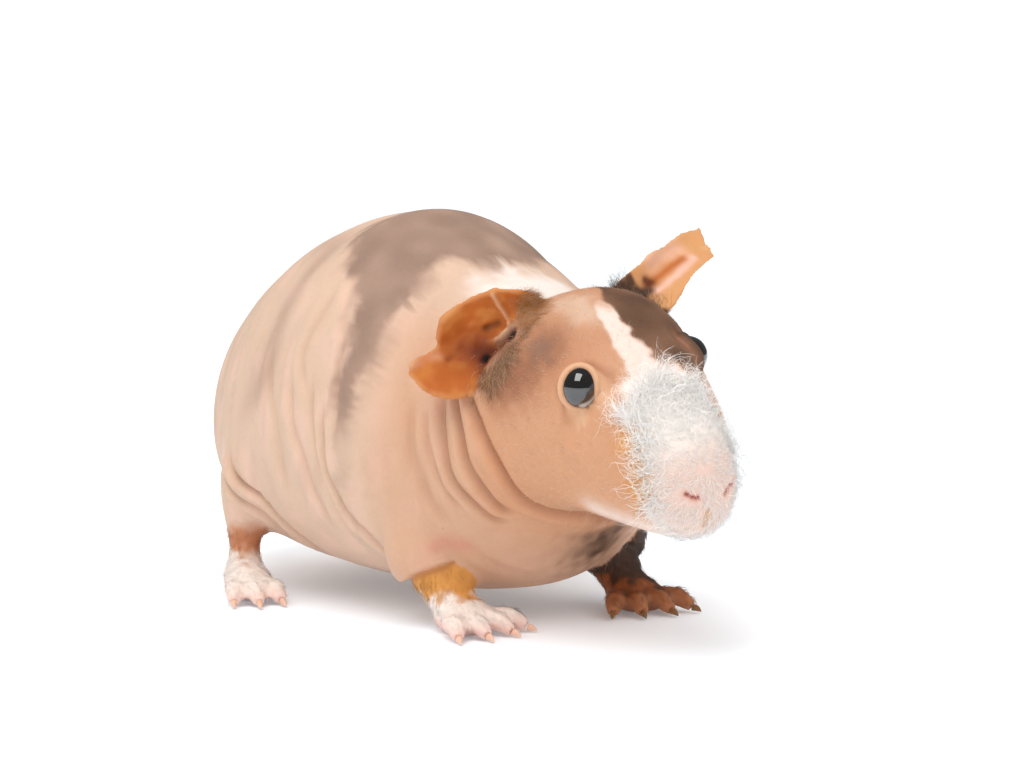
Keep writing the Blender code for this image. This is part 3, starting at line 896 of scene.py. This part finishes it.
def skinMaterial():
    shader = Shader("nakedSkin", {
        "IOR": 1.4, "Specular IOR Level": 0.35, "Subsurface Weight": skinLook["subsurface"],
        "Subsurface Radius": (1.0, 0.35, 0.2), "Subsurface Scale": skinLook["depth"],
    })
    tone = shader.attribute("tone", "Color")
    fine = shader.noise(900, 4)
    cloud = shader.noise(120, 3)
    lighter = shader.blend(0.5, tone, (1.0, 0.86, 0.76, 1), "OVERLAY")
    mixed = shader.blend(cloud * 0.22, tone, lighter)
    darker = shader.blend(1.0, mixed, (0.88, 0.8, 0.76, 1), "MULTIPLY")
    shader.feed("Base Color", shader.blend(fine * 0.45, mixed, darker))
    shader.feed("Roughness", fine * 0.16 + (skinLook["roughness"] - 0.08))
    pores = shader.bump(fine, skinLook["pores"], 0.0004)
    lines = shader.noise(420, 4, 0.6, stretch=(0.6, 1.8, 0.6))
    shader.feed("Normal", shader.bump(lines, skinLook["creases"], 0.0006, pores))
    return shader.material


skin.data.materials.clear()
skin.data.materials.append(skinMaterial())
skin.data.polygons.foreach_set("material_index", np.zeros(len(skin.data.polygons), np.int32))
skin.data.polygons.foreach_set("use_smooth", np.ones(len(skin.data.polygons), bool))
skinColours = markingsAndPaintedLight(plainPoints, skinPoints, skinRegion)
setColours(skin.data, skinColours)
skin.data.update()
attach(skin, "root")
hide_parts(*skinMaking["fleshNodes"])
print("skin painted")

eyeLook = {"bulge": 0.35, "rings": 48, "spokes": 64}


def eyeMaterial():
    shader = Shader("wetEye", {"Roughness": 0.04, "IOR": 1.45, "Specular IOR Level": 1.0, "Coat IOR": 1.8,
                               "Coat Weight": 0.6, "Coat Roughness": 0.02})
    corner = shader.attribute("corner")
    shader.feed("Base Color", shader.blend(corner, (0.006, 0.005, 0.005, 1), (0.42, 0.4, 0.38, 1)))
    return shader.material


def makeEye(side, eye, material):
    # a ball on a grid of swing from the gaze and turn round it, raised a little over the cornea
    gaze, ahead, upward = eyeAxes(eye)
    swing = np.linspace(0, math.pi, eyeLook["rings"])[1:-1]
    turn = np.linspace(0, 2 * math.pi, eyeLook["spokes"], endpoint=False)
    swings, turns = np.meshgrid(swing, turn, indexing="ij")
    way = (np.cos(swings)[..., None] * gaze + (np.sin(swings) * np.cos(turns))[..., None] * ahead
           + (np.sin(swings) * np.sin(turns))[..., None] * upward).reshape(-1, 3)
    way = np.concatenate([way, [gaze, -gaze]])
    tilt = np.degrees(np.arccos(np.clip(way @ gaze, -1, 1)))
    distance = eye["radius"] + eyeLook["bulge"] * (1 - ramp(tilt, 10, 50))
    points = eye["centre"] + way * distance[:, None]
    rings, spokes = len(swing), len(turn)
    grid = np.arange(rings * spokes).reshape(rings, spokes)
    nextSpoke = np.roll(grid, -1, axis=1)
    quads = np.stack([grid[:-1], grid[1:], nextSpoke[1:], nextSpoke[:-1]], axis=-1).reshape(-1, 4)
    front, back = rings * spokes, rings * spokes + 1
    faces = quads.tolist()
    faces += [[front, grid[0, k], nextSpoke[0, k]] for k in range(spokes)]
    faces += [[back, nextSpoke[-1, k], grid[-1, k]] for k in range(spokes)]
    if np.linalg.det(np.array([ahead, upward, gaze])) < 0:
        faces = [face[::-1] for face in faces]
    piece = newPiece("eye_ball_" + side, fromBody(points), faces, material)
    offCorner = lidEdge(points, eye)[3]
    corner = ramp(tilt, 43, 50) * (1 - ramp(np.abs(offCorner), 24, 40)) * (tilt < 95)
    attribute = piece.data.attributes.new("corner", "FLOAT", "POINT")
    attribute.data.foreach_set("value", corner.astype(np.float32))
    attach(piece, "root")
    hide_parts(eye["ball"])


wetEye = eyeMaterial()
for side, eye in eyes.items():
    makeEye(side, eye, wetEye)
print("eyes made")

clawLook = {"sides": 12, "steps": 9, "bend": 0.25, "flat": 0.85}


def clawMaterial():
    shader = Shader("claw", {"Roughness": 0.32, "IOR": 1.5})
    shader.feed("Base Color", shader.attribute("tone", "Color"))
    return shader.material


def spreadOf(points):
    # how far the points lie from their own middle
    return np.linalg.norm(points - points.mean(axis=0), axis=1).mean()


def clawShape(name):
    # a round profile that shrinks to a point along a path which bends down towards the tip
    points = toBody(pointsOf(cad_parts[name].data))
    middle = points.mean(axis=0)
    axis = np.linalg.svd(points - middle, full_matrices=False)[2][0]
    along = (points - middle) @ axis
    if spreadOf(points[along < np.percentile(along, 25)]) < spreadOf(points[along > np.percentile(along, 75)]):
        axis, along = -axis, -along
    base = middle + axis * along.min()
    length = along.max() - along.min()
    side = unit(np.cross(axis, [0, 0, 1.0]))
    top = np.cross(side, axis)
    ringWide = np.abs((points - middle) @ side).max()
    at = np.linspace(0, 1, clawLook["steps"])
    turn = np.linspace(0, 2 * math.pi, clawLook["sides"], endpoint=False)
    girth = ringWide * np.clip(1 - at**1.7, 0.04, 1) ** 0.75
    arch = clawLook["bend"] * np.sin(math.pi * at) * ringWide
    path = base + at[:, None] * length * axis + arch[:, None] * top
    ring = np.cos(turn)[None, :, None] * side * clawLook["flat"] + np.sin(turn)[None, :, None] * top
    return path[:, None, :] + girth[:, None, None] * ring


def makeClaws(name, nodes, tone, material):
    points, faces = [], []
    sides, steps = clawLook["sides"], clawLook["steps"]
    for node in nodes:
        start = sum(len(p) for p in points)
        points.append(clawShape(node).reshape(-1, 3))
        index = np.arange(sides * steps).reshape(steps, sides) + start
        nextSide = np.roll(index, -1, axis=1)
        quads = np.stack([index[:-1], nextSide[:-1], nextSide[1:], index[1:]], axis=-1).reshape(-1, 4)
        faces += quads.tolist() + [index[0, ::-1].tolist(), index[-1].tolist()]
    points = np.concatenate(points)
    piece = newPiece(name, fromBody(points), faces, material)
    bm = bmesh.new()
    bm.from_mesh(piece.data)
    bmesh.ops.recalc_face_normals(bm, faces=bm.faces)
    bm.to_mesh(piece.data)
    bm.free()
    setColours(piece.data, np.tile(tone, (len(points), 1)))
    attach(piece, "root")
    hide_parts(*nodes)


claw = clawMaterial()
for end in ("front", "hind"):
    for side in ("left", "right"):
        nodes = sorted(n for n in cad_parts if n.startswith(f"claw_{end}_{side}"))
        dark = end == "front" and side == "left"
        makeClaws(f"claws_{end}_{side}", nodes, colourOfHex("8A6038" if dark else "E6B9A0"), claw)
print("claws made")


def hairMaterial(name, sheen):
    shader = Shader(name, {"Roughness": 0.55, "IOR": 1.45, "Sheen Weight": sheen, "Specular IOR Level": 0.3})
    shader.feed("Base Color", shader.attribute("tone", "Color"))
    return shader.material


def skinRoots(density, count, seed):
    # count places picked at random over the skin, more often where the density is higher
    rng = np.random.default_rng(seed)
    triangles = trianglesOf(skin.data)
    a, b, c = (skinPoints[triangles[:, k]] for k in range(3))
    area = np.linalg.norm(np.cross(b - a, c - a), axis=1)
    weight = area * np.maximum(density, 0)[triangles].mean(axis=1)
    chosen = rng.choice(len(triangles), count, p=weight / weight.sum())
    first, second = rng.random(count), rng.random(count)
    fold = first + second > 1
    first, second = np.where(fold, 1 - first, first), np.where(fold, 1 - second, second)
    shares = np.stack([1 - first - second, first, second], axis=1)
    corners = triangles[chosen]
    roots = (skinPoints[corners] * shares[..., None]).sum(axis=1)
    normals = unit((skinNormals[corners] * shares[..., None]).sum(axis=1))
    colours = (skinColours[corners] * shares[..., None]).sum(axis=1)
    return roots, normals, colours, rng


def unwrap(roots):
    # the skin laid flat: the turn round the body's axis across, and the way from nose to rump up
    girth = np.hypot(roots[:, 0], roots[:, 2] - 46)
    return np.column_stack([roundBody(roots) / 380 + 0.5, (roots[:, 1] + 112 + 0.6 * girth) / 240])


def strands(name, roots, normals, flow, hair, colours, rng, material):
    # a strand follows s times its length along the flow tilted up by its lift, sinks back with
    # s squared, and winds round that line by its curl; three sides taper from root to tip
    count, steps = len(roots), hair["steps"]
    side = unit(np.cross(normals, flow))
    flow = unit(np.cross(side, normals))
    fan = rng.normal(0, hair["fan"], count)
    flow, side = (np.cos(fan)[:, None] * flow + np.sin(fan)[:, None] * side,
                  np.cos(fan)[:, None] * side - np.sin(fan)[:, None] * flow)
    length = hair["length"] * rng.uniform(0.6, 1.35, count)
    lift = np.radians(hair["lift"] + rng.normal(0, hair["liftSpread"], count))
    s = np.linspace(0, 1, steps)[None, :, None]
    curl = (hair["curl"] * rng.uniform(0.3, 1.5, count))[:, None, None]
    turns = (hair["turns"] * rng.uniform(0.5, 1.3, count))[:, None, None]
    phase = rng.uniform(0, 2 * math.pi, count)[:, None, None]
    reach = length[:, None, None]
    out, on, over = normals[:, None], flow[:, None], side[:, None]
    line = on * np.cos(lift)[:, None, None] + out * np.sin(lift)[:, None, None]
    path = roots[:, None] + reach * s * line + reach * hair["sink"] * s**2 * (on - out)
    wind = 2 * math.pi * turns * s + phase
    winding = (np.cos(wind) - np.cos(phase)) * over + (np.sin(wind) - np.sin(phase)) * out * 0.7
    path = path + curl * s**0.8 * winding
    path = path - 0.25 * out * (s < 0.01)
    path[..., 2] = np.maximum(path[..., 2], 0.15)
    way = unit(np.gradient(path, axis=1))
    across = unit(np.cross(way, out + 0.01 * over))
    rise = np.cross(way, across)
    girth = hair["thick"] * (1 - 0.82 * s**1.5) * rng.uniform(0.8, 1.2, count)[:, None, None]
    corner = np.arange(3) * 2 * math.pi / 3
    ring = (np.cos(corner)[None, None, :, None] * across[:, :, None]
            + np.sin(corner)[None, None, :, None] * rise[:, :, None])
    points = (path[:, :, None] + girth[:, :, None] * ring).reshape(-1, 3)
    index = np.arange(count * steps * 3).reshape(count, steps, 3)
    turned = np.roll(index, -1, axis=2)
    quads = np.stack([index[:, :-1], turned[:, :-1], turned[:, 1:], index[:, 1:]], axis=-1).reshape(-1, 4)
    roofs = np.concatenate([index[:, 0, ::-1], index[:, -1]])
    corners = np.concatenate([quads.ravel(), roofs.ravel()])
    sizes = np.concatenate([np.full(len(quads), 4), np.full(len(roofs), 3)])
    starts = np.concatenate([[0], np.cumsum(sizes)[:-1]])
    mesh = bpy.data.meshes.new(name)
    mesh.vertices.add(len(points))
    mesh.vertices.foreach_set("co", fromBody(points).astype(np.float32).ravel())
    mesh.loops.add(len(corners))
    mesh.loops.foreach_set("vertex_index", corners.astype(np.int32))
    mesh.polygons.add(len(sizes))
    mesh.polygons.foreach_set("loop_start", starts.astype(np.int32))
    mesh.polygons.foreach_set("use_smooth", np.ones(len(sizes), bool))
    mesh.update(calc_edges=True)
    mesh.materials.append(material)
    # every strand's patch lies round its root's place on the unwrapped skin
    spots = unwrap(roots)[:, None, None] + 0.003 * np.stack(np.broadcast_arrays(
        corner[None, None, :] / 6.3 * np.ones((count, steps, 1)), s * np.ones((count, 1, 3))), axis=-1)
    layerUv = mesh.uv_layers.new(name="OFBake")
    layerUv.data.foreach_set("uv", spots.reshape(-1, 2)[corners].astype(np.float32).ravel())
    setColours(mesh, np.repeat(colours, steps * 3, axis=0))
    # the strands take most of their shading from the skin that they lie on
    facing = unit(ring + hair["blend"] * normals[:, None, None]).reshape(-1, 3)
    mesh.normals_split_custom_set_from_vertices(facing.astype(np.float32))
    piece = bpy.data.objects.new(name, mesh)
    bpy.context.scene.collection.objects.link(piece)
    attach(piece, "root")
    print(name, count, "strands,", len(quads) * 2 + len(roofs), "triangles")


skinNormals = normalsFor(skinPoints, trianglesOf(skin.data))
skinHead = toHead(skinPoints)
whiteHair = hairMaterial("curlyHair", 0.5)
muzzleHair = {"count": 1700, "length": 4.0, "lift": 18, "liftSpread": 11, "fan": 0.7, "curl": 0.8,
              "turns": 1.2, "sink": 0.16, "thick": 0.046, "steps": 8, "blend": 2.2}
edgeHair = {"count": 900, "length": 5.6, "lift": 28, "liftSpread": 14, "fan": 0.9, "curl": 1.9,
            "turns": 1.1, "sink": 0.2, "thick": 0.055, "steps": 14, "blend": 2.0}
noseHair = {"count": 2400, "length": 1.9, "lift": 20, "liftSpread": 10, "fan": 0.5, "curl": 0.4,
            "turns": 0.8, "sink": 0.2, "thick": 0.045, "steps": 6, "blend": 2.2}
earHair = {"count": 2600, "length": 2.3, "lift": 20, "liftSpread": 9, "fan": 0.4, "curl": 0.2,
           "turns": 0.6, "sink": 0.2, "thick": 0.032, "steps": 5, "blend": 1.2}
earRootHair = {"count": 1500, "length": 3.4, "lift": 24, "liftSpread": 12, "fan": 0.5, "curl": 0.35,
               "turns": 0.6, "sink": 0.15, "thick": 0.04, "steps": 5, "blend": 1.2}
limbHair = {"count": 6500, "length": 1.8, "lift": 16, "liftSpread": 8, "fan": 0.3, "curl": 0.1,
            "turns": 0.6, "sink": 0.2, "thick": 0.07, "steps": 4, "blend": 1.2}
faceHair = {"count": 5200, "length": 1.2, "lift": 22, "liftSpread": 10, "fan": 0.5, "curl": 0.15,
            "turns": 0.6, "sink": 0.2, "thick": 0.035, "steps": 4, "blend": 1.2}
hairWhite = colourOfHex("FFFBF6")


lidGap = np.minimum(*[np.where(awayFrom(skinPoints, eye["centre"]) < 12, lidEdge(skinPoints, eye)[0], 9.0)
                      for eye in eyes.values()])
lidClear = ramp(lidGap, 3.0, 6.0)


def nearNostrils(points, width):
    return bell(np.minimum(*[alongStroke(points, nostril) for nostril in face["nostrils"]]), width)


def flatOn(normals, flow, share=1.0):
    # the flow with a share of its part along the normals taken away
    return flow - share * normals * (flow * normals).sum(axis=1, keepdims=True)


def awayFromNose(roots, normals):
    # hair lies back from the nose over the face
    return flatOn(normals, unit(roots - fromHead([30.5, -2.4, -8.0])) - headAxes[0] * 0.5)


def whitened(roots, colours, rng):
    # white hair with a few strands of orange over the orange spots
    head = toHead(roots)
    orange = np.max([bell(awayFrom(head, place), 2.6) for place in orangeSpots], axis=0)
    shades = hairWhite * rng.uniform(0.93, 1.0, len(head))[:, None]
    isOrange = (orange > rng.uniform(0.2, 0.9, len(head)))[:, None]
    return np.where(isOrange, colourOfHex("DC9A4C"), shades)


def paled(roots, colours, rng):
    return colours * 0.25 + hairWhite * 0.75


def growWhite(name, density, hair, seed, shade):
    roots, normals, colours, rng = skinRoots(density, hair["count"], seed)
    colours = shade(roots, colours, rng)
    strands(name, roots, normals, awayFromNose(roots, normals), hair, colours, rng, whiteHair)


def makeMuzzleHair():
    bare = 1 - skinRegion[0]
    reach = muzzleReach(skinHead) + 0.9 * softNoise(skinPoints, 4.0, 61)
    reach = reach - 2.5 * ramp(skinHead[:, 2], 6, 11)
    onNose = ramp(skinHead[:, 0], 19, 29) * ramp(-skinHead[:, 2], -5, 6)
    spots = np.min([awayFrom(skinHead, place) for place in orangeSpots], axis=0)
    density = ramp(reach, -0.5, 3.0) * bare * (1 - 0.97 * onNose) * lidClear * (1 - 0.75 * bell(spots, 2.8))
    growWhite("hair_muzzle", density, muzzleHair, 71, whitened)
    density = bell(reach - 2.0, 1.8) * bare * ramp(skinHead[:, 2], -21, -8) * ramp(lidGap, 4, 8.5)
    density = density * (1 + 2.2 * ramp(skinHead[:, 2], 8, 12)) * (1 - 0.5 * bell(spots, 2.6))
    growWhite("hair_edge", density, edgeHair, 72, whitened)
    growWhite("hair_nose", onNose * bare * (1 - nearNostrils(skinHead, 1.8)), noseHair, 73, paled)


def makeEarHair():
    # short hair that fans out from the roots of both ears
    line = [(-19.5, -56.5, 81), (-22, -55, 75.5), (-24.5, -54.5, 70), (-28, -51.5, 64)]
    front = bell(alongStroke(skinPoints, line), 2.8)
    front = front * ramp(awayFrom(skinPoints, (-22.6, -53.2, 74.2)), 1.8, 3.4)
    flap = 0.9 * bell(alongStroke(skinPoints, [(-20, -56, 83), (-21.5, -54, 80.5)]), 2.2)
    roots, normals, colours, rng = skinRoots(front + flap, earHair["count"], 74)
    flow = flatOn(normals, unit(roots - np.array([-28.0, -48, 74])) - 0.3 * headAxes[2])
    pick = rng.random(len(roots))[:, None]
    high = ramp(roots[:, 2], 74, 79)[:, None]
    shades = np.where(pick < 0.15 + 0.65 * high, colourOfHex("B5712F"), colourOfHex("84603F"))
    shades = np.where(pick > 0.66, colourOfHex("C9A384"), shades)
    strands("hair_ear_right", roots, normals, flow, earHair, shades, rng, furLook)
    line = [(9, -47.5, 81), (12.5, -47.5, 81.5), (15, -50, 81), (17, -53.5, 79)]
    far = bell(alongStroke(skinPoints, line), 3.0)
    roots, normals, colours, rng = skinRoots(far, earRootHair["count"], 76)
    flow = np.array([-0.25, 0.3, 1.0]) + 0.35 * unit(roots - np.array([18.0, -50, 84]))
    flow = flatOn(normals, flow, 0.6)
    shades = np.where(rng.random(len(roots))[:, None] < 0.4, colourOfHex("8E6B55"), colourOfHex("4A3428"))
    strands("hair_ear_left", roots, normals, unit(flow), earRootHair, shades, rng, furLook)


def makeLimbHair():
    # short fur that runs down the legs and over the feet
    ear, foot, leg = skinRegion
    up, front = skinPoints[:, 2], skinPoints[:, 1] < 10
    top = np.where(front & (skinPoints[:, 0] < 0), hemHeight(skinPoints) - 1.0, np.where(front, 22.0, 17.0))
    density = np.clip(leg + foot, 0, 1) * (1 - ramp(up - top, -1.0, 0.0)) * ramp(up, 1.2, 3.0)
    density = density * (1 - 0.8 * foot * (1 - ramp(up, 2.5, 5.0)))
    roots, normals, colours, rng = skinRoots(density, limbHair["count"], 75)
    onFoot = (1 - ramp(roots[:, 2], 4, 9))[:, None]
    flow = np.array([0, 0, -1.0]) * (1 - onFoot) + np.array([0.0, -1.0, -0.25]) * onFoot
    flow = flatOn(normals, flow) + 1e-4
    shade = rng.uniform(0.85, 1.2, len(roots))[:, None]
    strands("hair_limbs", roots, normals, flow, limbHair, np.clip(colours * shade, 0, 1), rng, furLook)


def makeFaceHair():
    # sparse pale down over the cheeks and brow
    ear, foot, leg = skinRegion
    density = (1 - ramp(skinPoints[:, 1], -58, -50)) * (1 - ear) * (muzzleReach(skinHead) < 0)
    density = density * ramp(lidGap, 2.0, 4.0)
    roots, normals, colours, rng = skinRoots(density, faceHair["count"], 76)
    pale = (rng.uniform(0.0, 0.6, len(roots)) * ramp(colours.mean(axis=1), 0.06, 0.25))[:, None]
    colours = colours + (colourOfHex("F4DCC4") - colours) * pale
    strands("hair_face", roots, normals, awayFromNose(roots, normals), faceHair, colours, rng, furLook)


furLook = hairMaterial("shortFur", 0.1)
makeMuzzleHair()
makeEarHair()
makeLimbHair()
makeFaceHair()

stageLook = {"skyBehind": 1.12, "skyAhead": 0.9, "key": 3.9, "dimMirror": 0.85}
floorShader = Shader("floor", {
    "Roughness": 0.9, "Base Color": (0.88, 0.92, 0.96, 1), "Specular IOR Level": 0.0,
    "Emission Color": (0.8, 0.92, 1.0, 1), "Emission Strength": 0.13,
})
floorCorners = [(-6, -6, 0), (6, -6, 0), (6, 6, 0), (-6, 6, 0)]
floor = newPiece("floor", floorCorners, [(0, 1, 2, 3)], floorShader.material)


def makeSky():
    # an even sky, a little brighter behind the animal, weaker in mirrors and plain where it is seen
    world = bpy.data.worlds.new("sky")
    bpy.context.scene.world = world
    world.use_nodes = True
    sky, background = Nodes(world.node_tree), world.node_tree.nodes["Background"]
    background.inputs["Color"].default_value = (1.0, 0.99, 0.98, 1)
    way = sky.node("ShaderNodeTexCoord", output="Generated")
    dot = {"operation": "DOT_PRODUCT"}
    behind = sky.node("ShaderNodeVectorMath", dot, {0: way, 1: (0.52, 0.8, 0.3)}, "Value")
    level = sky.node("ShaderNodeMapRange", inputs={
        "Value": behind, "From Min": -0.5, "From Max": 0.6,
        "To Min": stageLook["skyAhead"], "To Max": stageLook["skyBehind"],
    }, output="Result")
    mirrored = sky.node("ShaderNodeLightPath", output="Is Glossy Ray")
    seen = sky.node("ShaderNodeLightPath", output="Is Camera Ray")
    strength = seen.maths("MAXIMUM", (1 - mirrored * stageLook["dimMirror"]) * level, seen)
    world.node_tree.links.new(strength.socket, background.inputs["Strength"])


makeSky()


def areaLight(name, place, target, size, power):
    light = bpy.data.lights.new(name, "AREA")
    light.shape = "RECTANGLE"
    light.size, light.size_y = size
    light.energy = power
    lamp = bpy.data.objects.new(name, light)
    lamp.location = fromBody(place)
    aim = Vector(fromBody(target)) - lamp.location
    lamp.rotation_euler = aim.to_track_quat("-Z", "Y").to_euler()
    bpy.context.scene.collection.objects.link(lamp)


areaLight("window", (-330, -260, 820), (0, -20, 40), (0.46, 0.72), stageLook["key"])

bpy.context.scene.view_settings.view_transform = "Standard"
camera = {"place": (-409, -629, 135), "azimuth": 33.0, "turn": 0.82, "dip": 5.97, "lens": 102.8}


def makeCamera():
    data = bpy.data.cameras.new("camera")
    data.lens, data.sensor_width = camera["lens"], 36
    data.clip_start, data.clip_end = 0.01, 50
    eye = bpy.data.objects.new("camera", data)
    eye.location = fromBody(camera["place"])
    heading = math.radians(camera["azimuth"] + camera["turn"])
    eye.rotation_euler = (math.radians(90 - camera["dip"]), 0, -heading)
    bpy.context.scene.collection.objects.link(eye)
    bpy.context.scene.camera = eye


makeCamera()
print("scene ready")
